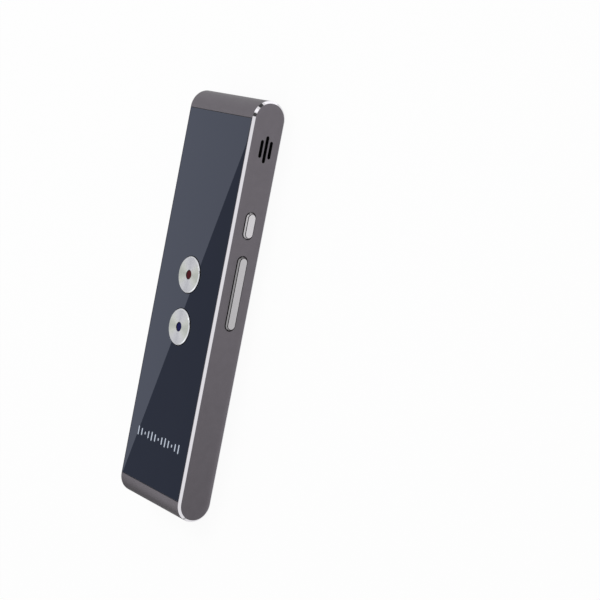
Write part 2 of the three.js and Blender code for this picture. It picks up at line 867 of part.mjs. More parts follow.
// Charging socket under the board's tab
function placeUsbSocket() {
  const mouth = usbRecess - halfLength;
  const rear = mouth + usbDepth;
  const inner = [usbHeight - 2 * usbWall, usbWidth - 2 * usbWall];
  const outside = roundedOutline(usbHeight, usbWidth, usbCorner);
  const inside = roundedOutline(...inner, usbCorner - usbWall);
  const shell = carved(
    [endways(outside, [mouth, rear], [0, usbZ])],
    [endways(inside, [mouth - overrun, rear + overrun], [0, usbZ])],
  );
  const plug = roundedOutline(
    inner[0] - 2 * tongueFit, inner[1] - 2 * tongueFit, usbCorner - usbWall - tongueFit,
  );
  const tongue = block(
    around(0, tongueWidth), [mouth + tongueSetback, rear - tongueBase / 2],
    around(usbZ, tongueThickness),
  );
  place("usb_shell", shell, finish.steel);
  place("usb_tongue",
    carved([endways(plug, [rear - tongueBase, rear], [0, usbZ]), tongue], []),
    finish.darkPlastic);
}

// Battery on its tape, with two leads to a plug under the board
function placeBattery() {
  const width = 2 * batteryHalfWidth;
  const middleY = batteryStartY + batteryLength / 2;
  const cell = roundedOutline(width, batteryLength, batteryCorner);
  const tape = block(
    around(0, width - 2 * tapeInset), around(middleY, batteryLength - 2 * tapeInset),
    [wall, batteryBottom],
  );
  place("battery", upright(cell, [batteryBottom, batteryTop], [0, middleY], batteryBevel),
    finish.cell);
  place("battery_tape", tape, finish.film);
}

function placeBatteryPlug() {
  const outerWidth = plugWidth + 2 * (socketGap + socketWall);
  const seatY = [socketY + socketWall, socketY + socketWall + plugSeat];
  const low = plugZ - plugHeight / 2 - socketGap - socketWall;
  const socket = carved(
    [block(around(plugShift, outerWidth), [socketY, seatY[1]], [low, boardBottom])],
    [block(around(plugShift, plugWidth + 2 * socketGap), [seatY[0], seatY[1] + overrun],
      around(plugZ, plugHeight + 2 * socketGap))],
  );
  const plugEnd = seatY[0] + socketGap + plugLength;
  const plug = block(
    around(plugShift, plugWidth), [seatY[0] + socketGap, plugEnd], around(plugZ, plugHeight),
  );
  place("battery_socket", socket, finish.palePlastic);
  place("battery_plug", plug, finish.palePlastic);
  const leads = [
    { name: "battery_lead_plus", side: 1, look: finish.redLead },
    { name: "battery_lead_minus", side: -1, look: finish.blackLead },
  ];
  leads.forEach(({ name, side, look }) => {
    const x = plugShift + side * batteryLeadSpacing / 2;
    const low = batteryBottom + batteryLeadRise + batteryLeadDiameter;
    const route = [
      [x, plugEnd + leadGap, plugZ],
      [x, plugEnd + leadBend, plugZ],
      [x, batteryStartY - leadBend, low],
      [x, batteryStartY - leadGap, low],
    ];
    place(name, lead(route, batteryLeadDiameter), look);
  });
}

place("housing", housing(), finish.body);
place("front_panel", frontPanel(), finish.panel);
place("panel_adhesive", panelAdhesive(), finish.glue);
place("inner_frame", innerFrame(), finish.framePlastic);
screwPlaces.forEach((spot, index) => {
  place(`frame_screw_${index + 1}`, frameScrew(spot), finish.steel);
});
place("main_board", mainBoard(), finish.board);
placeChips();
buttons.forEach(placeButton);
placePowerKey();
placeVolumeKey();
placeSpeaker();
placeMicrophone();
placeUsbSocket();
placeBattery();
placeBatteryPlug();

export default translator;
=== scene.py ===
import json
import math

import bmesh
import bpy
from mathutils import Matrix, Vector


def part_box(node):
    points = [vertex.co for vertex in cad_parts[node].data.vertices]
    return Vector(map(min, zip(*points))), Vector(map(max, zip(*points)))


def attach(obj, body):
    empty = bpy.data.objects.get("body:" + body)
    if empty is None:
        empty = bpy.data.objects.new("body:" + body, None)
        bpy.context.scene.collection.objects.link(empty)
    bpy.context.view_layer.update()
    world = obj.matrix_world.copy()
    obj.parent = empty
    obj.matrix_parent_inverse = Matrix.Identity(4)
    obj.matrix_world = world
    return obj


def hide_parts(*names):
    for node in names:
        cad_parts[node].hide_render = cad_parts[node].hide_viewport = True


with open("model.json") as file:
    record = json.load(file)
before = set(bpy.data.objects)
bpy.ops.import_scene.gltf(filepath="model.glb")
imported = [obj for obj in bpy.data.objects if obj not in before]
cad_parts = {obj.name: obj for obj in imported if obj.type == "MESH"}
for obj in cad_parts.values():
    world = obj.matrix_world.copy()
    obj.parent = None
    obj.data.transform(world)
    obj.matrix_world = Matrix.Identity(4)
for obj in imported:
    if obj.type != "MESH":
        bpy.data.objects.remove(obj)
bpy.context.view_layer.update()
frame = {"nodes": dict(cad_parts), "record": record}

MM = 0.001

# Housing
CHAMFER = 0.78 * MM
END_RADIUS = 6.2 * MM
EDGE_SOFTENING = 0.04 * MM
WALL = 1.2 * MM
OVERSHOOT = 0.5 * MM
CUT_CLEARANCE = 0.01 * MM
END_STEPS = 24
MERGE_DISTANCE = 1e-7
SHARP_ANGLE = math.radians(20)

# Front panel
PANEL_GAP = 0.1 * MM
PANEL_SOFTENING = 0.08 * MM
PANEL_CORNER = 0.25 * MM
PANEL_CORNER_STEPS = 3
RECESS_CORNER_STEPS = 2
PANEL_TONES = ((0.0102, 0.0112, 0.0175, 1), (0.0108, 0.0118, 0.0185, 1))
HOLE_GAP = 0.15 * MM
HOLE_RIM = 0.1 * MM

# Round buttons
CAP_BEVEL = 0.2 * MM
CAP_BEVEL_WIDTH = 0.28 * MM
CAP_EDGE = 0.04 * MM
DOT_TRIM = 0.15 * MM
DOT_GAP = 0.18 * MM
DOT_DOME = 0.07 * MM
DOME_STEPS = 6
CAP_STEPS = 96

# Painted sheen of the spun caps, a base colour by sector, from the sectors along the bar to those
# across it
SPUN_PAINTED_SHEEN = (
    (0.00, (0.480, 0.485, 0.520)), (0.30, (0.530, 0.535, 0.570)), (0.60, (0.565, 0.570, 0.590)),
    (0.90, (0.545, 0.560, 0.530)), (1.00, (0.460, 0.480, 0.445)),
)

# Side keys
KEY_GAP = 0.3 * MM
KEY_HOLE_SHIFT = 0.09 * MM
KEY_FLANGE_MARGIN = 0.7 * MM
KEY_FLANGE = 0.45 * MM
KEY_SLOPE = 0.36 * MM
KEY_STEP = 0.1 * MM
KEY_EDGE = 0.04 * MM
KEY_STEPS = 12
FLANGE_STEPS = 3

# Speaker slots
SLOT_WIDTH = 1.05 * MM
SLOT_PITCH = 1.8 * MM
SLOT_DROP = 0.5 * MM
SLOT_LENGTHS = (5.6 * MM, 8.6 * MM, 5.6 * MM)
SLOT_RIM = 0.06 * MM
WIRE_PITCH = 0.42 * MM
WIRE_RADIUS = 0.07 * MM
WIRE_WAVE = 0.03 * MM
WIRE_SIDES = 5
MESH_BORDER = 0.5 * MM

# Charging socket and sound hole
SOCKET_WALL = 0.3 * MM
SOCKET_CORNER = 0.8 * MM
SOCKET_GAP = 0.25 * MM
SOUND_HOLE_SHIFT = 11.2 * MM
SOUND_HOLE_RADIUS = 0.5 * MM
TONGUE_WIDTH = 3.8 * MM
TONGUE_THICKNESS = 0.65 * MM
TONGUE_BASE = 0.9 * MM
TONGUE_EDGE_STEPS = 3
TONGUE_BASE_STEPS = 4
CONTACT_COUNT = 5
CONTACT_PITCH = 0.65 * MM
CONTACT_WIDTH = 0.35 * MM
CONTACT_LENGTH = 3.2 * MM
CONTACT_PROUD = 0.03 * MM
CONTACT_STEPS = 2

# Row of level bars on the panel
MARK_PLACE = -46.8 * MM
MARK_COUNT = 13
MARK_PITCH = 2.1 * MM
MARK_WIDTH = 0.6 * MM
MARK_TALLEST = 3.1 * MM
MARK_SHORTEST = 1.0 * MM
MARK_PROUD = 0.02 * MM
MARK_HALF_WAVE = 4
MARK_STEPS = 6

# Camera, fitted to the outline of the leaning device
PHOTO_PIXELS = 600
FOCAL_PIXELS = 1664.9
SENSOR_WIDTH = 36.0
CLIP_START = 10 * MM
CAMERA_PLACE = Vector((452.74, 58.81, 315.75)) * MM
CAMERA_FORWARD = Vector((-0.78777, -0.09338, -0.60885)).normalized()
CAMERA_UP = Vector((-0.19101, 0.97675, 0.09734)).normalized()

# Where the photo shows the edge of the light reflection on the panel, in pixels
REFLECTION_TOP = (249.6, 134.8)
REFLECTION_BOTTOM = (123.0, 471.0)

# Floor, surroundings and lamps
FLOOR_HALF = 3.0
FLOOR_DROP = 0.02 * MM
FLOOR_PAINT = 0.86
FLOOR_WHITE_SHARE = 0.93
WORLD_LEVEL = 0.72
KEY_LAMP_PLACE = (-0.25, 0.45, 0.75)
KEY_LAMP_SIZE = 0.5
KEY_LAMP_POWER = 2.2
SPARK_DIRECTION = Vector((0.056, 0.519, 0.853))
SPARK_DISTANCE = 0.6
SPARK_SIZE = 0.09
SPARK_POWER = 0.1

# Cards that the panel reflects
CARD_HEIGHT = 400 * MM
CARD_LIFT = 6 * MM
CARD_MARGIN = 30 * MM
CARD_FADE = 50 * MM
PANEL_SKY = (0.99, 1.09, 1.39)
PANEL_FLAG = (0.25, 0.30, 0.44)

# Cards that the metal reflects
FLAG_DISTANCE = 400 * MM
CHAMFER_CARDS = (
    ("chamfer_flag_low", (0.597, 0.254, 0.762), (0.105, 0.12), 0.07),
    ("chamfer_spark", (0.578, 0.54, 0.60), (0.12, 0.12), 1.35),
    ("chamfer_flag_high", (0.38, 0.88, 0.27), (0.30, 0.13), 0.07),
)
HEAD_GLOW = 1.35
HEAD_GLOW_SPAN = (14 * MM, 400 * MM)
TOP_FLAG = (-0.80, 0.40, 0.45)
TOP_FLAG_SIZE = (0.5, 0.4)
TOP_FLAG_SHARE = 0.1
FOOT_FLAG = (-0.82, -0.57, 0.05)
FOOT_DISTANCE = 60 * MM
FOOT_SIZE = (0.11, 0.06)
FOOT_SHARE = 0.65
SIDE_CARD_SPAN = (20 * MM, 90 * MM)
SIDE_CARD_FADE = ((20 * MM, 0.0), (-110 * MM, 0.45))
END_CARD_SPAN = (-220 * MM, 14 * MM)
END_CARD_GAP = 2 * MM
FOOT_CARD_SHARE = 0.6
HEAD_CARD_SHARE = 0.2
RIM_GLOW = (-0.145, -0.736, 0.664)
RIM_GLOW_SIZE = (0.24, 0.22)
RIM_GLOW_LEVEL = 1.5

housing_low, housing_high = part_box("housing")
panel_low, panel_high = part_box("front_panel")
middle_depth = (housing_low.z + housing_high.z) / 2


# Node helpers
def add(tree, kind, settings=None, **inputs):
    """A shader node, with values or links for the inputs that are named."""
    node = tree.nodes.new("ShaderNode" + kind)
    for name, value in (settings or {}).items():
        setattr(node, name, value)
    for name, value in inputs.items():
        feed(tree, node.inputs[name.replace("_", " ")], value)
    return node


def feed(tree, socket, value):
    if isinstance(value, bpy.types.NodeSocket):
        tree.links.new(value, socket)
    else:
        socket.default_value = value


def places(tree, stretch=(1, 1, 1)):
    """The piece's own coordinates in metres, stretched along its axes."""
    coordinates = add(tree, "TexCoord").outputs["Object"]
    return add(tree, "Mapping", Vector=coordinates, Scale=stretch).outputs["Vector"]


def noise(tree, where, scale, detail=4.0):
    return add(tree, "TexNoise", Vector=where, Scale=scale, Detail=detail).outputs["Fac"]


def ranged(tree, value, low, high, start=0.3, end=0.7):
    """A number from low to high, as value goes from start to end."""
    node = add(tree, "MapRange", Value=value)
    for name, number in (("From Min", start), ("From Max", end), ("To Min", low), ("To Max", high)):
        node.inputs[name].default_value = number
    return node.outputs["Result"]


def ramped(tree, value, *stops):
    """A colour that passes through (place, colour) stops as the value goes from 0 to 1."""
    node = add(tree, "ValToRGB", Fac=value)
    elements = node.color_ramp.elements
    while len(elements) < len(stops):
        elements.new(1.0)
    for element, (place, colour) in zip(elements, stops):
        element.position = place
        element.color = (*colour, 1.0)
    return node.outputs["Color"]


def mixed(tree, share, first, second):
    """The first colour turning into the second."""
    node = add(tree, "Mix", {"data_type": "RGBA"})
    feed(tree, node.inputs[0], share)
    feed(tree, node.inputs[6], first)
    feed(tree, node.inputs[7], second)
    return node.outputs[2]


def shade_of(colour, factor):
    return (*(channel * factor for channel in colour[:3]), 1.0)


def bumped(tree, height, strength, distance):
    return add(tree, "Bump", Strength=strength, Distance=distance, Height=height).outputs["Normal"]


def new_finish(name):
    material = bpy.data.materials.new(name)
    material.use_nodes = True
    return material, material.node_tree, material.node_tree.nodes["Principled BSDF"]


def grained(name, colour, roughness, grain, metallic=0.0, contrast=0.06, relief=0.2,
            depth=0.01 * MM, stretch=(1, 1, 1), specular=0.5, coat=0.0):
    """A finish with fine grain: it varies the colour, the roughness and the relief."""
    material, tree, shader = new_finish(name)
    where = places(tree, stretch)
    fine = noise(tree, where, grain)
    broad = noise(tree, where, grain / 24)
    tone = mixed(tree, ranged(tree, broad, 0, 1), shade_of(colour, 1 - contrast),
                 shade_of(colour, 1 + contrast))
    feed(tree, shader.inputs["Base Color"], tone)
    feed(tree, shader.inputs["Roughness"],
         ranged(tree, fine, roughness * 0.88, roughness * 1.12))
    feed(tree, shader.inputs["Normal"], bumped(tree, fine, relief, depth))
    shader.inputs["Metallic"].default_value = metallic
    shader.inputs["Specular IOR Level"].default_value = specular
    shader.inputs["Coat Weight"].default_value = coat
    return material


# Finishes that show
def blasted_metal():
    """Bead-blasted, anodised metal in dark grey with a violet tint."""
    return grained("blasted_metal", (0.160, 0.147, 0.164), 0.43, 9000.0, metallic=1.0,
                   contrast=0.03, relief=0.22, depth=0.02 * MM)


def polished_metal(name, colour):
    """A diamond-cut edge: bright, with faint lines along the cut."""
    return grained(name, colour, 0.06, 5000.0, metallic=1.0,
                   contrast=0.03, relief=0.08, depth=0.005 * MM, stretch=(1, 0.03, 0.03))


def painted_slot_shade():
    """Painted shade: a near-black colour on the inside walls of the holes through the wall."""
    return grained("painted_slot_shade", (0.004, 0.004, 0.005), 0.7, 6000.0, specular=0.05)


def panel_glass():
    """Nearly black sheet under a clear mirror-smooth coat."""
    material, tree, shader = new_finish("panel_glass")
    where = places(tree)
    haze = noise(tree, where, 90.0, 2.0)
    feed(tree, shader.inputs["Base Color"],
         mixed(tree, ranged(tree, haze, 0, 1), *PANEL_TONES))
    feed(tree, shader.inputs["Roughness"], ranged(tree, noise(tree, where, 1500.0), 0.42, 0.55))
    shader.inputs["Specular IOR Level"].default_value = 0.0
    shader.inputs["Coat Weight"].default_value = 1.0
    shader.inputs["Coat Roughness"].default_value = 0.0
    shader.inputs["Coat IOR"].default_value = 1.46
    return material


def spun_metal():
    """Bright metal turned on a lathe: fine rings, and a painted sheen in the base colour that fans
    out in sectors from the middle.
    """
    material, tree, shader = new_finish("spun_metal")
    generated = add(tree, "TexCoord").outputs["Generated"]
    centred = add(tree, "Mapping", Vector=generated, Location=(-0.5, -0.5, 0),
                  Scale=(1, 1, 0)).outputs["Vector"]
    rings = add(tree, "TexWave", {"wave_type": "RINGS", "rings_direction": "Z"}, Vector=centred,
                Scale=22.0, Distortion=0.6, Detail=2.0, Detail_Scale=3.0).outputs["Fac"]
    outward = add(tree, "VectorMath", {"operation": "NORMALIZE"})
    feed(tree, outward.inputs[0], centred)
    across = add(tree, "SeparateXYZ", Vector=outward.outputs["Vector"]).outputs["X"]
    # Painted sheen: the base colour changes with the direction from the middle of the cap
    sheen_sector = add(tree, "Math", {"operation": "ABSOLUTE"})
    feed(tree, sheen_sector.inputs[0], across)
    tone = ramped(tree, sheen_sector.outputs[0], *SPUN_PAINTED_SHEEN)
    speckle = ranged(tree, noise(tree, places(tree), 2600.0), 0.94, 1.06)
    lively = add(tree, "HueSaturation", Color=tone, Value=speckle).outputs["Color"]
    feed(tree, shader.inputs["Base Color"], lively)
    feed(tree, shader.inputs["Roughness"], ranged(tree, rings, 0.24, 0.30, 0, 1))
    feed(tree, shader.inputs["Normal"], bumped(tree, rings, 0.12, 0.004 * MM))
    feed(tree, shader.inputs["Tangent"],
         add(tree, "Tangent", {"direction_type": "RADIAL", "axis": "Z"}).outputs["Tangent"])
    shader.inputs["Metallic"].default_value = 1.0
    shader.inputs["Anisotropic"].default_value = 0.85
    shader.inputs["Anisotropic Rotation"].default_value = 0.25
    return material


def satin_metal(name, level):
    """Satin silver brushed along the bar."""
    return grained(name, (level, level * 0.975, level * 1.005), 0.3, 4000.0, metallic=1.0,
                   contrast=0.05, relief=0.12, depth=0.006 * MM, stretch=(1, 0.05, 1))


def enamel(name, colour):
    """Filled enamel with a soft gloss."""
    return grained(name, colour, 0.4, 3000.0, contrast=0.08, relief=0.05,
                   depth=0.004 * MM, specular=0.05)


def pad_ink():
    """The pale ink of the level bars."""
    return grained("pad_ink", (0.50, 0.56, 0.66), 0.5, 6000.0, contrast=0.05, relief=0.1)


def gold_plate():
    return grained("gold_plate", (0.86, 0.62, 0.26), 0.25, 6000.0, metallic=1.0, relief=0.06)


# Finishes of the pieces inside
def solder_mask():
    """Green mask over copper tracks, which show as paler lines standing up a little."""
    material, tree, shader = new_finish("solder_mask")
    where = places(tree)
    cells = add(tree, "TexVoronoi", {"feature": "DISTANCE_TO_EDGE", "distance": "MANHATTAN"},
                Vector=where, Scale=420.0).outputs["Distance"]
    tracks = ranged(tree, cells, 1, 0, 0.03, 0.08)
    ground = mixed(tree, ranged(tree, noise(tree, where, 200.0), 0, 1),
                   (0.008, 0.085, 0.03, 1), (0.012, 0.11, 0.04, 1))
    feed(tree, shader.inputs["Base Color"], mixed(tree, tracks, ground, (0.03, 0.2, 0.07, 1)))
    feed(tree, shader.inputs["Roughness"], ranged(tree, noise(tree, where, 3000.0), 0.25, 0.4))
    feed(tree, shader.inputs["Normal"], bumped(tree, tracks, 0.4, 0.03 * MM))
    return material


def inner_finishes():
    """One finish for each of the record's slots that is met inside."""
    return {
        "steel": grained("plated_steel", (0.56, 0.56, 0.58), 0.32, 3000.0, metallic=1.0),
        "dark_plastic": grained("dark_plastic", (0.014, 0.014, 0.016), 0.5, 3500.0),
        "pale_plastic": grained("pale_plastic", (0.74, 0.71, 0.60), 0.45, 2500.0),
        "frame_plastic": grained("frame_plastic", (0.045, 0.045, 0.052), 0.55, 2500.0,
                                 contrast=0.12, relief=0.3),
        "adhesive": grained("adhesive", (0.006, 0.006, 0.007), 0.8, 1500.0, relief=0.4),
        "foam": grained("foam", (0.018, 0.018, 0.022), 0.95, 2200.0, contrast=0.3, relief=0.9,
                        depth=0.08 * MM, specular=0.1),
        "rubber": grained("rubber", (0.011, 0.011, 0.012), 0.7, 2500.0, relief=0.3, specular=0.3),
        "board": solder_mask(),
        "chip": grained("chip_resin", (0.010, 0.010, 0.011), 0.6, 5000.0, contrast=0.15),
        "film": grained("film", (0.045, 0.030, 0.018), 0.3, 900.0, coat=0.3),
        "cell": grained("cell_laminate", (0.56, 0.58, 0.60), 0.38, 700.0, metallic=1.0,
                        relief=0.35, depth=0.05 * MM),
        "lead_red": grained("lead_red", (0.42, 0.010, 0.010), 0.45, 2500.0),
        "lead_black": grained("lead_black", (0.008, 0.008, 0.009), 0.45, 2500.0),
    }


# Mesh helpers
def rounded_outline(half_width, half_height, radius, steps):
    """A rectangle with round corners as a list of (across, up), counterclockwise."""
    points = []
    corners = ((1, -1, 270), (1, 1, 0), (-1, 1, 90), (-1, -1, 180))
    for side, level, start in corners:
        centre = (side * (half_width - radius), level * (half_height - radius))
        for step in range(steps + 1):
            angle = math.radians(start + 90 * step / steps)
            points.append((centre[0] + radius * math.cos(angle),
                           centre[1] + radius * math.sin(angle)))
    return points


def loft(rings, groups=None, closed=True):
    """Faces from ring to ring, with a finish number for each band, and an end at each side."""
    bm = bmesh.new()
    rows = [[bm.verts.new(point) for point in ring] for ring in rings]
    for level, (row, following) in enumerate(zip(rows, rows[1:])):
        for index, vertex in enumerate(row):
            after = (index + 1) % len(row)
            face = bm.faces.new((vertex, row[after], following[after], following[index]))
            face.material_index = groups[level] if groups else 0
    if closed:
        bm.faces.new(list(reversed(rows[0])))
        bm.faces.new(rows[-1])
    bmesh.ops.remove_doubles(bm, verts=bm.verts, dist=MERGE_DISTANCE)
    bmesh.ops.recalc_face_normals(bm, faces=bm.faces)
    return bm


def piece(name, bm, *finishes):
    """An object in the scene, from mesh data."""
    mesh = bpy.data.meshes.new(name)
    bm.to_mesh(mesh)
    bm.free()
    for finish in finishes:
        mesh.materials.append(finish)
    made = bpy.data.objects.new(name, mesh)
    bpy.context.scene.collection.objects.link(made)
    return made


def carve(body, *cutters):
    """Takes the cutters out of the body, one after the other, and removes them."""
    for cutter in cutters:
        modifier = body.modifiers.new("cut", "BOOLEAN")
        modifier.operation = "DIFFERENCE"
        modifier.solver = "EXACT"
        modifier.object = cutter
        evaluated = body.evaluated_get(bpy.context.evaluated_depsgraph_get())
        mesh = bpy.data.meshes.new_from_object(evaluated)
        body.modifiers.clear()
        body.data = mesh
        bpy.data.objects.remove(cutter)
    return body


def smooth(made):
    """Smooth shading inside each face group, with hard edges where it turns sharply."""
    made.data.shade_smooth()
    made.data.set_sharp_from_angle(angle=SHARP_ANGLE)
    normals = made.modifiers.new("normals", "WEIGHTED_NORMAL")
    normals.keep_sharp = True
    return made


def settle(made, body, slot, *nodes):
    """Fixes a finished piece to its body and hides the nodes it stands for. The slot is not used.
    """
    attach(made, body)
    if nodes:
        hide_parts(*nodes)
    return made


def along_x(outline, x, middle):
    """An outline stood across X, seen from the +X side, at (y, z) middle."""
    return [(x, middle[0] + across, middle[1] + up) for across, up in outline]


def along_y(outline, y, middle):
    return [(middle[0] + across, y, middle[1] + up) for across, up in outline]


def along_z(outline, z, middle=(0, 0)):
    return [(middle[0] + across, middle[1] + up, z) for across, up in outline]


def disc(radius, z, middle, steps):
    turns = [math.tau * step / steps for step in range(steps)]
    return along_z([(radius * math.cos(a), radius * math.sin(a)) for a in turns], z, middle)


def turned(profile, middle, groups=None):
    """A solid turned round a line along Z, from (radius, z) points that start and end on it."""
    return loft([disc(radius, z, middle, CAP_STEPS) for radius, z in profile], groups, closed=False)


def centre_of(node):
    low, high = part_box(node)
    return (low + high) / 2


# Housing
def bar_outline(inset):
    """The side view of the bar, a rectangle with full-round ends, drawn in all round."""
    half_length = (housing_high.y - housing_low.y) / 2 - inset
    half_depth = middle_depth - inset
    return rounded_outline(half_length, half_depth, END_RADIUS - inset, END_STEPS)


def bar_rings(steps):
    """Rings of the bar from one side to the other, from (distance from the side, inset)."""
    sides = [(housing_low.x, 1), (housing_high.x, -1)]
    ordered = [(x + turn * far, inset)
               for (x, turn), points in zip(sides, (steps, list(reversed(steps))))
               for far, inset in points]
    return [along_x(bar_outline(inset), x, (0, middle_depth)) for x, inset in ordered]


def bar_solid(finishes):
    soft = EDGE_SOFTENING
    steps = [
        (0, CHAMFER + soft), (soft * math.sqrt(0.5), CHAMFER - soft * math.sqrt(0.5)),
        (CHAMFER - soft * math.sqrt(0.5), soft * math.sqrt(0.5)), (CHAMFER + soft, 0),
    ]
    groups = [0, 1, 0, 0, 0, 1, 0]
    return piece("housing_shell", loft(bar_rings(steps), groups), *finishes)


def hollow():
    """All that is empty inside the CAD housing, with its bosses and ribs left standing."""
    bm = bmesh.new()
    bm.from_mesh(frame["nodes"]["housing"].data)
    bmesh.ops.remove_doubles(bm, verts=bm.verts, dist=MM / 1000)
    return carve(piece("hollow", loft(bar_rings([(WALL / 2, WALL / 2)]))), piece("walls", bm))


def wall_cutter(outline_at, middle, rim, finish):
    """A cutter through the +X wall, flared a little at the outer face."""
    face = housing_high.x
    levels = [(face - WALL - OVERSHOOT, 0), (face - rim, 0), (face + rim, 2 * rim)]
    return piece("wall_cutter", loft([along_x(outline_at(grow), x, middle) for x, grow in levels],
                                     [finish, finish]))


def slot_cutters():
    """The three speaker slots, a longer one between two shorter ones."""
    low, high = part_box("speaker_mesh")
    y = (low.y + high.y) / 2
    cutters = []
    for index, length in enumerate(SLOT_LENGTHS):
        z = middle_depth - SLOT_DROP + (index - 1) * SLOT_PITCH

        def outline(grow, length=length):
            half = SLOT_WIDTH / 2 + CUT_CLEARANCE + grow
            return rounded_outline(length / 2 + CUT_CLEARANCE + grow, half, half, KEY_STEPS)

        # Finish 2 paints the slot walls near-black as shade
        cutters.append(wall_cutter(outline, (y, z), SLOT_RIM, 2))
    return cutters


def key_head(node):
    """Half length, half width and (y, z) middle of the head of a key."""
    low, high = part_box(node)
    middle = ((low.y + high.y) / 2, (low.z + high.z) / 2)
    return ((high.y - low.y) / 2 - KEY_FLANGE_MARGIN, (high.z - low.z) / 2 - KEY_FLANGE_MARGIN,
            middle)


def key_cutter(node):
    """The hole of a key, a touch nearer the front face than the key itself."""
    half_length, half_width, middle = key_head(node)
    gap = KEY_GAP + CUT_CLEARANCE

    def outline(grow):
        half = half_width + gap + grow
        return rounded_outline(half_length + gap + grow, half, half, KEY_STEPS)

    return wall_cutter(outline, (middle[0], middle[1] + KEY_HOLE_SHIFT), SLOT_RIM / 2, 0)


def recess_cutter():
    """The opening that the front panel sits in."""
    grow = PANEL_GAP + CUT_CLEARANCE
    outline = rounded_outline(panel_high.x + grow, panel_high.y + grow, PANEL_CORNER,
                              RECESS_CORNER_STEPS)
    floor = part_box("inner_frame")[1].z - CUT_CLEARANCE
    rings = [along_z(outline, z) for z in (floor, housing_high.z + OVERSHOOT)]
    return piece("recess", loft(rings))


def socket_cutter():
    low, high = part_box("usb_shell")
    grow = SOCKET_GAP + CUT_CLEARANCE
    half_width = (high.x - low.x) / 2 + grow
    half_height = (high.z - low.z) / 2 + grow
    outline = rounded_outline(half_width, half_height, SOCKET_CORNER + grow, KEY_STEPS)
    rings = [along_y(outline, y, (0, (low.z + high.z) / 2))
             for y in (housing_low.y - OVERSHOOT, high.y)]
    # Finish 2 paints the socket hole's walls near-black as shade
    return piece("socket_hole", loft(rings, [2]))


def sound_hole_cutter():
    outline = rounded_outline(SOUND_HOLE_RADIUS, SOUND_HOLE_RADIUS, SOUND_HOLE_RADIUS, KEY_STEPS)
    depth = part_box("microphone_boot")[0].y
    rings = [along_y(outline, y, (SOUND_HOLE_SHIFT, middle_depth))
             for y in (housing_low.y - OVERSHOOT, depth)]
    # Finish 2 paints the sound hole's walls near-black as shade
    return piece("sound_hole", loft(rings, [2]))


def make_housing(metal, polish, slot_shade):
    shell = bar_solid((metal, polish, slot_shade))
    carve(shell, hollow(), recess_cutter(), *slot_cutters(), key_cutter("power_key"),
          key_cutter("volume_key"), socket_cutter(), sound_hole_cutter())
    settle(smooth(shell), "main_body", "body_metal", "housing")


# Front panel and the row of bars on it
def make_panel(glass):
    rings = []
    for z, inset in ((panel_low.z, 0), (panel_high.z - PANEL_SOFTENING, 0),
                     (panel_high.z - PANEL_SOFTENING / 3, PANEL_SOFTENING / 3),
                     (panel_high.z, PANEL_SOFTENING)):
        outline = rounded_outline(panel_high.x - inset, panel_high.y - inset, PANEL_CORNER,
                                  PANEL_CORNER_STEPS)
        rings.append(along_z(outline, z))
    panel = piece("panel_sheet", loft(rings), glass)
    for letter in "ab":
        carve(panel, hole_cutter(f"button_{letter}_cap"))
    settle(smooth(panel), "main_body", "panel", "front_panel")


def hole_cutter(cap):
    low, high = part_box(cap)
    radius = (high.x - low.x) / 2 + HOLE_GAP
    middle = (0, (low.y + high.y) / 2)
    levels = [(panel_low.z - OVERSHOOT, 0), (panel_high.z - HOLE_RIM, 0),
              (panel_high.z + HOLE_RIM, 2)]
    return piece("hole", loft([disc(radius + grow * HOLE_RIM, z, middle, CAP_STEPS)
                               for z, grow in levels]))


def make_mark(ink):
    """A plain row of level bars, taller and shorter in a steady wave."""
    joined = bmesh.new()
    for index in range(MARK_COUNT):
        x = (index - (MARK_COUNT - 1) / 2) * MARK_PITCH
        wave = abs(math.cos(math.pi * index / MARK_HALF_WAVE))
        half_height = (MARK_SHORTEST + (MARK_TALLEST - MARK_SHORTEST) * wave) / 2
        outline = rounded_outline(MARK_WIDTH / 2, half_height, MARK_WIDTH / 2, MARK_STEPS)
        rings = [along_z(outline, z, (x, MARK_PLACE))
                 for z in (panel_high.z - MARK_PROUD, panel_high.z + MARK_PROUD)]
        merge_into(joined, loft(rings))
    settle(piece("level_bars", joined, ink), "main_body", "pale_plastic")


def merge_into(joined, bm):
    mesh = bpy.data.meshes.new("part")
    bm.to_mesh(mesh)
    bm.free()
    joined.from_mesh(mesh)
    bpy.data.meshes.remove(mesh)


# Round buttons
def make_button(letter, colour_finish, *metals):
    """A turned cap with a polished bevel on a dark skirt, and the domed dot in its pocket. The dark
    skirt finish on the cap's wall and in the dot's pocket is painted shade.
    """
    cap = f"button_{letter}_cap"
    low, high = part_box(cap)
    radius = (high.x - low.x) / 2
    middle = (0, (low.y + high.y) / 2)
    dot_low, dot_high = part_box(f"button_{letter}_dot")
    dot_radius = (dot_high.x - dot_low.x) / 2 - DOT_TRIM
    pocket = dot_radius + DOT_GAP
    soft = CAP_EDGE
    flat = radius - CAP_BEVEL_WIDTH
    profile = [
        (0, low.z), (radius - soft, low.z), (radius, low.z + soft),
        (radius, high.z - CAP_BEVEL - soft), (radius - soft, high.z - CAP_BEVEL + soft / 2),
        (flat + soft, high.z - soft / 2), (flat - soft, high.z),
        (pocket + soft, high.z), (pocket, high.z - soft), (pocket, dot_low.z), (0, dot_low.z),
    ]
    # The cap's wall and the dot's pocket are painted near-black as shade
    groups = [2] * 3 + [1] * 3 + [0] * 2 + [2] * 2
    made = piece(f"{cap}_spun", turned(profile, middle, groups), *metals)
    settle(smooth(made), f"button_{letter}", "button_metal", cap)
    dome = [(dot_radius * math.sin(angle), dot_high.z - DOT_DOME * (1 - math.cos(angle)))
            for angle in (math.radians(90 * (1 - step / DOME_STEPS))
                          for step in range(DOME_STEPS + 1))]
    dot = turned([(0, dot_low.z), (dot_radius, dot_low.z), *dome], middle)
    made = piece(f"button_{letter}_dot_enamel", dot, colour_finish)
    slot = {"a": "dot_red", "b": "dot_blue"}[letter]
    settle(smooth(made), f"button_{letter}", slot, f"button_{letter}_dot")


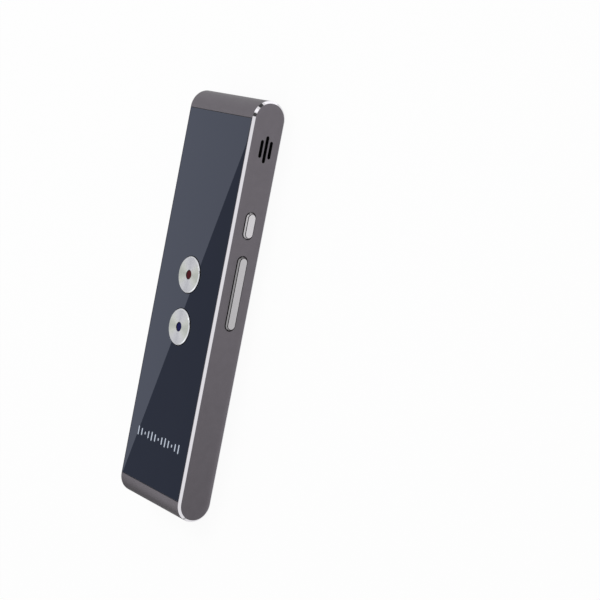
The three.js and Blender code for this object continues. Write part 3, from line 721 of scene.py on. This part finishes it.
# Side keys
def make_key(node, body, *finishes):
    """A pill-shaped head, sloped all round up to a raised face, on its flange behind the wall.
    The finishes are those of the face, of the slope, and of the skirt and the step. The slope's
    finish is the face's satin metal made darker, painted shade, and the step's is near-black,
    painted shade."""
    low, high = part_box(node)
    half_length, half_width, middle = key_head(node)

    def head(x, inset):
        half = half_width - inset
        return along_x(rounded_outline(half_length - inset, half, half, KEY_STEPS), x, middle)

    flange_top = housing_high.x - WALL if node == "power_key" else low.x + KEY_FLANGE
    slope_top = housing_high.x + KEY_EDGE + KEY_SLOPE
    step_inset = KEY_SLOPE + KEY_STEP
    # The slope and the step are painted darker than the face as shade
    joined = loft([
        head(flange_top - KEY_FLANGE / 2, 0), head(housing_high.x, 0),
        head(housing_high.x + KEY_EDGE, KEY_EDGE / 2), head(slope_top, KEY_SLOPE),
        head(slope_top, step_inset - KEY_EDGE / 2), head(high.x - KEY_EDGE, step_inset),
        head(high.x, step_inset + KEY_EDGE),
    ], [2, 1, 1, 2, 2, 0])
    flange = rounded_outline(half_length + KEY_FLANGE_MARGIN, half_width + KEY_FLANGE_MARGIN,
                             KEY_FLANGE, FLANGE_STEPS)
    merge_into(joined, loft([along_x(flange, x, middle)
                             for x in (flange_top - KEY_FLANGE, flange_top)], [2]))
    made = piece(f"{node}_satin", joined, *finishes)
    settle(smooth(made), body, "key_metal", node)


# Speaker mesh
def wire(joined, points, across):
    """A thin wire through the points, with a section of a few sides in the two directions given."""
    turns = [math.tau * step / WIRE_SIDES for step in range(WIRE_SIDES)]
    rings = [[point + WIRE_RADIUS * (math.cos(a) * across[0] + math.sin(a) * across[1])
              for a in turns]
             for point in points]
    merge_into(joined, loft(rings))


def make_speaker_mesh(finish):
    """A frame with a wire weave, clamped behind the slots."""
    low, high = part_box("speaker_mesh")
    middle = centre_of("speaker_mesh")
    half = (high - low) / 2
    outer = rounded_outline(half.y, half.z, SLOT_PITCH, KEY_STEPS)
    inner = rounded_outline(half.y - MESH_BORDER, half.z - MESH_BORDER, SLOT_PITCH - MESH_BORDER,
                            KEY_STEPS)
    place = (middle.y, middle.z)
    joined = loft([along_x(outer, low.x, place), along_x(outer, high.x, place),
                   along_x(inner, high.x, place), along_x(inner, low.x, place),
                   along_x(outer, low.x, place)], closed=False)
    for direction, span, other in ((1, half.y, half.z), (2, half.z, half.y)):
        weave(joined, middle, direction, span - MESH_BORDER / 2, other - MESH_BORDER)
    made = piece("speaker_mesh_weave", joined, finish)
    settle(smooth(made), "main_body", "dark_plastic", "speaker_mesh")


def weave(joined, middle, direction, half_span, half_other):
    """The wires of one direction, going over and under those of the other."""
    other = 3 - direction
    count = int(half_other / WIRE_PITCH)
    radius = SLOT_PITCH - MESH_BORDER
    for row in range(-count, count + 1):
        offset = row * WIRE_PITCH
        corner = max(0.0, abs(offset) - (half_other - radius))
        reach = half_span - radius + math.sqrt(max(radius ** 2 - corner ** 2, 0.0))
        steps = 2 * max(2, int(reach / WIRE_PITCH) + 1)
        points = []
        for step in range(-steps, steps + 1):
            along = reach * step / steps
            phase = math.pi * (along / WIRE_PITCH + row + direction)
            point = Vector(middle)
            point.x += WIRE_WAVE * math.cos(phase)
            point[direction] += along
            point[other] += offset
            points.append(point)
        side = Vector((0, 0, 0))
        side[other] = 1.0
        wire(joined, points, (Vector((1, 0, 0)), side))


# Charging socket
def make_socket(steel, plastic, gold):
    low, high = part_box("usb_shell")
    middle = centre_of("usb_shell")
    place = (middle.x, middle.z)
    half = (high - low) / 2

    def ring(y, inset):
        outline = rounded_outline(half.x - inset, half.z - inset, SOCKET_CORNER - inset, KEY_STEPS)
        return along_y(outline, y, place)

    lip = SOCKET_WALL / 3
    rings = [
        ring(high.y, 0), ring(low.y + lip, 0), ring(low.y, lip), ring(low.y, SOCKET_WALL - lip),
        ring(low.y + lip, SOCKET_WALL), ring(high.y, SOCKET_WALL), ring(high.y, 0),
    ]
    shell = piece("usb_shell_drawn", loft(rings, closed=False), steel)
    settle(smooth(shell), "main_body", "steel", "usb_shell")
    make_tongue(plastic, gold)


def make_tongue(plastic, gold):
    low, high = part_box("usb_tongue")
    middle = centre_of("usb_tongue")
    place = (middle.x, middle.z)
    edge = TONGUE_THICKNESS / 4

    def blade(y, inset):
        outline = rounded_outline(TONGUE_WIDTH / 2 - inset, TONGUE_THICKNESS / 2 - inset,
                                  edge - inset / 2, TONGUE_EDGE_STEPS)
        return along_y(outline, y, place)

    joined = loft([blade(high.y - TONGUE_BASE / 2, 0), blade(low.y + edge, 0),
                   blade(low.y, edge / 2)])
    base = rounded_outline((high.x - low.x) / 2, (high.z - low.z) / 2, SOCKET_CORNER / 2,
                           TONGUE_BASE_STEPS)
    merge_into(joined, loft([along_y(base, y, place) for y in (high.y - TONGUE_BASE, high.y)]))
    tongue = piece("usb_tongue_moulded", joined, plastic)
    settle(smooth(tongue), "main_body", "dark_plastic", "usb_tongue")
    contacts = bmesh.new()
    for side in (-1, 1):
        for index in range(CONTACT_COUNT):
            x = middle.x + (index - (CONTACT_COUNT - 1) / 2) * CONTACT_PITCH
            z = middle.z + side * TONGUE_THICKNESS / 2
            outline = rounded_outline(CONTACT_WIDTH / 2, CONTACT_PROUD, CONTACT_PROUD / 2,
                                      CONTACT_STEPS)
            start = low.y + 2 * edge
            merge_into(contacts, loft([along_y(outline, y, (x, z))
                                       for y in (start, start + CONTACT_LENGTH)]))
    settle(piece("usb_contacts", contacts, gold), "main_body", "steel")


# Pieces inside that keep their CAD shape
def dress(node, finish):
    node.data.materials.clear()
    node.data.materials.append(finish)


def dress_inside():
    """Each piece in the finish of its slot, and the microphone all in foam."""
    finishes = inner_finishes()
    slots = {part["node"]: part["material_slot"] for part in frame["record"]["subparts"]}
    for name, node in frame["nodes"].items():
        if slots[name] in finishes:
            dress(node, finishes[slots[name]])
    dress(frame["nodes"]["microphone"], finishes["foam"])


# Camera
def camera_axes():
    right = CAMERA_FORWARD.cross(CAMERA_UP).normalized()
    return right, right.cross(CAMERA_FORWARD)


def place_camera():
    data = bpy.data.cameras.new("camera")
    data.sensor_fit = "HORIZONTAL"
    data.sensor_width = SENSOR_WIDTH
    data.lens = FOCAL_PIXELS * SENSOR_WIDTH / PHOTO_PIXELS
    data.clip_start = CLIP_START
    camera = bpy.data.objects.new("camera", data)
    bpy.context.scene.collection.objects.link(camera)
    right, up = camera_axes()
    turn = Matrix((right, up, -CAMERA_FORWARD)).transposed()
    camera.matrix_world = Matrix.Translation(CAMERA_PLACE) @ turn.to_4x4()
    bpy.context.scene.camera = camera


def seen_on_panel(pixel):
    """The point of the panel's plane that the photo shows at a pixel."""
    right, up = camera_axes()
    middle = PHOTO_PIXELS / 2
    ray = (CAMERA_FORWARD * FOCAL_PIXELS + right * (pixel[0] - middle) + up * (middle - pixel[1]))
    return CAMERA_PLACE + ray * ((panel_high.z - CAMERA_PLACE.z) / ray.z)


# Studio
def white_share(tree):
    """One for the camera, in reflections and through glass, and nothing otherwise."""
    path = add(tree, "LightPath").outputs
    seen = add(tree, "Math", {"operation": "MAXIMUM"})
    feed(tree, seen.inputs[0], path["Is Camera Ray"])
    feed(tree, seen.inputs[1], path["Is Glossy Ray"])
    either = add(tree, "Math", {"operation": "MAXIMUM"})
    feed(tree, either.inputs[0], seen.outputs[0])
    feed(tree, either.inputs[1], path["Is Transmission Ray"])
    return either.outputs[0]


def light_world():
    world = bpy.data.worlds.new("studio")
    world.use_nodes = True
    tree = world.node_tree
    background = tree.nodes["Background"]
    background.inputs["Color"].default_value = (1, 1, 1, 1)
    share = white_share(tree)
    feed(tree, background.inputs["Strength"], ranged(tree, share, WORLD_LEVEL, 1, 0, 1))
    bpy.context.scene.world = world


def lay_floor():
    """A pale floor, white to the camera and in reflections, with the object's shadow on it."""
    bm = bmesh.new()
    bmesh.ops.create_grid(bm, x_segments=1, y_segments=1, size=FLOOR_HALF)
    bmesh.ops.translate(bm, verts=bm.verts, vec=(0, 0, -FLOOR_DROP))
    material = bpy.data.materials.new("studio_floor")
    material.use_nodes = True
    tree = material.node_tree
    tree.nodes.remove(tree.nodes["Principled BSDF"])
    paint = add(tree, "BsdfDiffuse", Color=(*[FLOOR_PAINT] * 3, 1)).outputs[0]
    glow = add(tree, "Emission", Color=(1, 1, 1, 1), Strength=1.0).outputs[0]
    share = ranged(tree, white_share(tree), 0, FLOOR_WHITE_SHARE, 0, 1)
    blend = add(tree, "MixShader")
    feed(tree, blend.inputs[0], share)
    feed(tree, blend.inputs[1], paint)
    feed(tree, blend.inputs[2], glow)
    feed(tree, tree.nodes["Material Output"].inputs["Surface"], blend.outputs[0])
    piece("studio_floor", bm, material)


def times(tree, first, second):
    node = add(tree, "Math", {"operation": "MULTIPLY"})
    feed(tree, node.inputs[0], first)
    feed(tree, node.inputs[1], second)
    return node.outputs[0]


def faded(tree, share, low, high):
    """A share of light that falls to nothing at the borders of the low to high rectangle."""
    place = add(tree, "SeparateXYZ", Vector=places(tree)).outputs
    for axis, name in enumerate("XY"):
        rise = ranged(tree, place[name], 0, 1, low[axis], low[axis] + CARD_FADE)
        fall = ranged(tree, place[name], 1, 0, high[axis] - CARD_FADE, high[axis])
        share = times(tree, share, times(tree, rise, fall))
    return share


def card_finish(name, colour, share, mirror_only, limits):
    """A studio card that only reflections see: those in mirror-smooth faces, or all the others.
    Its share of the light is one number, or two (y, number) ends that it fades between.
    Limits are the low and high corners of the rectangle at whose borders it fades away."""
    material = bpy.data.materials.new(name)
    material.use_nodes = True
    tree = material.node_tree
    tree.nodes.remove(tree.nodes["Principled BSDF"])
    if isinstance(share, tuple):
        (start, low), (end, high) = share
        y = add(tree, "SeparateXYZ", Vector=places(tree)).outputs["Y"]
        share = ranged(tree, y, low, high, start, end)
    single = add(tree, "LightPath").outputs["Is Singular Ray"]
    allowed = ranged(tree, single, *((0, 1) if mirror_only else (1, 0)), 0, 1)
    weight = times(tree, allowed, share)
    if limits:
        weight = faded(tree, weight, *limits)
    blend = add(tree, "MixShader")
    feed(tree, blend.inputs[0], weight)
    feed(tree, blend.inputs[1], add(tree, "BsdfTransparent").outputs[0])
    feed(tree, blend.inputs[2], add(tree, "Emission", Color=(*colour, 1)).outputs[0])
    feed(tree, tree.nodes["Material Output"].inputs["Surface"], blend.outputs[0])
    return material


def hang_card(name, corners, colour=(0, 0, 0), share=1.0, mirror_only=False, limits=None):
    bm = bmesh.new()
    bm.faces.new([bm.verts.new(corner) for corner in corners])
    card = piece(name, bm, card_finish(name, colour, share, mirror_only, limits))
    for kind in ("camera", "diffuse", "transmission", "shadow", "volume_scatter"):
        setattr(card, f"visible_{kind}", False)


def lay_card(name, x, y, **finish):
    """A card that lies just over the floor."""
    hang_card(name, [(x[0], y[0], MM), (x[1], y[0], MM), (x[1], y[1], MM), (x[0], y[1], MM)],
              **finish)


def hang_facing(name, seen_from, direction, distance, size, **finish):
    """A card across a direction, as wide and as high as size says."""
    toward = Vector(direction).normalized()
    across = toward.cross(Vector((0, 0, 1))).normalized() * size[0] / 2
    up = across.cross(toward).normalized() * size[1] / 2
    middle = Vector(seen_from) + toward * distance
    hang_card(name, [middle + across + up, middle - across + up, middle - across - up,
                     middle + across - up], **finish)


def behind_panel(corners, height):
    """Where lines from the camera's mirror image through panel points reach a height above it."""
    mirrored = Vector((CAMERA_PLACE.x, CAMERA_PLACE.y, 2 * panel_high.z - CAMERA_PLACE.z))
    reach = (height + panel_high.z - mirrored.z) / (panel_high.z - mirrored.z)
    return [mirrored + (corner - mirrored) * reach for corner in corners]


def hang_panel_cards():
    """The pale card, and the dark flag with the straight edge that crosses the panel."""
    top = seen_on_panel(REFLECTION_TOP)
    bottom = seen_on_panel(REFLECTION_BOTTOM)
    past = (top - bottom).normalized() * 2 * CARD_MARGIN
    foot, head = bottom - past, top + past
    low = panel_low - Vector((CARD_MARGIN, CARD_MARGIN, 0))
    high = panel_high + Vector((CARD_MARGIN, CARD_MARGIN, 0))
    dark = [foot, Vector((high.x, foot.y, high.z)), Vector((high.x, head.y, high.z)), head]
    pale = [Vector((x, y, high.z)) for x, y in ((low.x, low.y), (high.x, low.y), (high.x, high.y),
                                                (low.x, high.y))]
    for name, corners, height, colour in (("panel_flag", dark, CARD_HEIGHT, PANEL_FLAG),
                                          ("panel_sky", pale, CARD_HEIGHT + CARD_LIFT, PANEL_SKY)):
        hang_card(name, behind_panel(corners, height), colour, mirror_only=True,
                  limits=behind_panel((low, high), height))


def hang_metal_cards():
    """Dark cards that give the polished chamfer its breaks and the rough metal its fall-off."""
    corner = (housing_high.x, panel_high.y + CHAMFER, housing_high.z)
    for name, direction, size, level in CHAMFER_CARDS:
        hang_facing(name, corner, direction, FLAG_DISTANCE, size, colour=[level] * 3)
    hang_facing("rim_glow", (0, 0, housing_high.z), RIM_GLOW, FLAG_DISTANCE, RIM_GLOW_SIZE,
                colour=[RIM_GLOW_LEVEL] * 3)
    hang_facing("top_flag", (0, housing_high.y, 0), TOP_FLAG, FLAG_DISTANCE, TOP_FLAG_SIZE,
                share=TOP_FLAG_SHARE)
    hang_facing("foot_flag", (0, housing_low.y, 0), FOOT_FLAG, FOOT_DISTANCE, FOOT_SIZE,
                share=FOOT_SHARE)
    far = END_CARD_SPAN[0]
    foot_span = (housing_low.y - END_CARD_GAP, far)
    head_span = (housing_high.y + END_CARD_GAP, -far)
    lay_card("side_card", SIDE_CARD_SPAN, (SIDE_CARD_FADE[0][0], far), share=SIDE_CARD_FADE)
    lay_card("foot_card", END_CARD_SPAN, foot_span, share=FOOT_CARD_SHARE)
    lay_card("head_card", END_CARD_SPAN, head_span, share=HEAD_CARD_SHARE)
    lay_card("head_glow", HEAD_GLOW_SPAN, head_span, colour=[HEAD_GLOW] * 3)


def softbox(name, place, size, power, reflected=False):
    """A round soft lamp over the object, which shows in reflections or stays out of them."""
    data = bpy.data.lights.new(name, "AREA")
    data.shape = "DISK"
    data.size = size
    data.energy = power
    lamp = bpy.data.objects.new(name, data)
    bpy.context.scene.collection.objects.link(lamp)
    lamp.location = place
    lamp.rotation_mode = "QUATERNION"
    lamp.rotation_quaternion = (-Vector(place)).to_track_quat("-Z", "Y")
    lamp.visible_glossy = reflected
    return lamp


def set_up_studio():
    light_world()
    lay_floor()
    hang_panel_cards()
    hang_metal_cards()
    softbox("key_lamp", KEY_LAMP_PLACE, KEY_LAMP_SIZE, KEY_LAMP_POWER)
    softbox("spark_lamp", SPARK_DIRECTION * SPARK_DISTANCE, SPARK_SIZE, SPARK_POWER,
            reflected=True)
    bpy.context.scene.view_settings.view_transform = "Standard"


metal = blasted_metal()
polish = polished_metal("polished_metal", (0.725, 0.71, 0.745))
# Near-black painted shade inside the speaker slots, the socket hole and the sound hole
slot_shade = painted_slot_shade()
silver = spun_metal()
rim = polished_metal("polished_rim", (0.70, 0.71, 0.74))
make_housing(metal, polish, slot_shade)
make_panel(panel_glass())
make_mark(pad_ink())
# Dark skirt: dark plastic on the keys below the wall, and painted shade on the keys' steps, the
# caps' walls and the dots' pockets
skirt_and_shade = grained("dark_skirt_and_painted_shade", (0.012, 0.012, 0.013), 0.5, 6000.0, specular=0.2)
make_button("a", enamel("enamel_red", (0.064, 0.002, 0.006)), silver, rim, skirt_and_shade)
make_button("b", enamel("enamel_blue", (0.002, 0.003, 0.060)), silver, rim, skirt_and_shade)
# Each slope is its key's satin metal at a lower level: painted shade
make_key("power_key", "power_key", satin_metal("satin_power", 0.645),
         satin_metal("satin_power_slope_painted_shade", 0.50), skirt_and_shade)
make_key("volume_key", "volume_key", satin_metal("satin_volume", 0.53),
         satin_metal("satin_volume_slope_painted_shade", 0.27), skirt_and_shade)
dress_inside()
make_speaker_mesh(grained("mesh_wire", (0.004, 0.004, 0.005), 0.5, 8000.0, specular=0.08))
make_socket(grained("drawn_steel", (0.60, 0.60, 0.62), 0.28, 3000.0, metallic=1.0,
                    stretch=(1, 0.1, 1)),
            grained("tongue_resin", (0.012, 0.012, 0.013), 0.5, 3500.0), gold_plate())
place_camera()
set_up_studio()
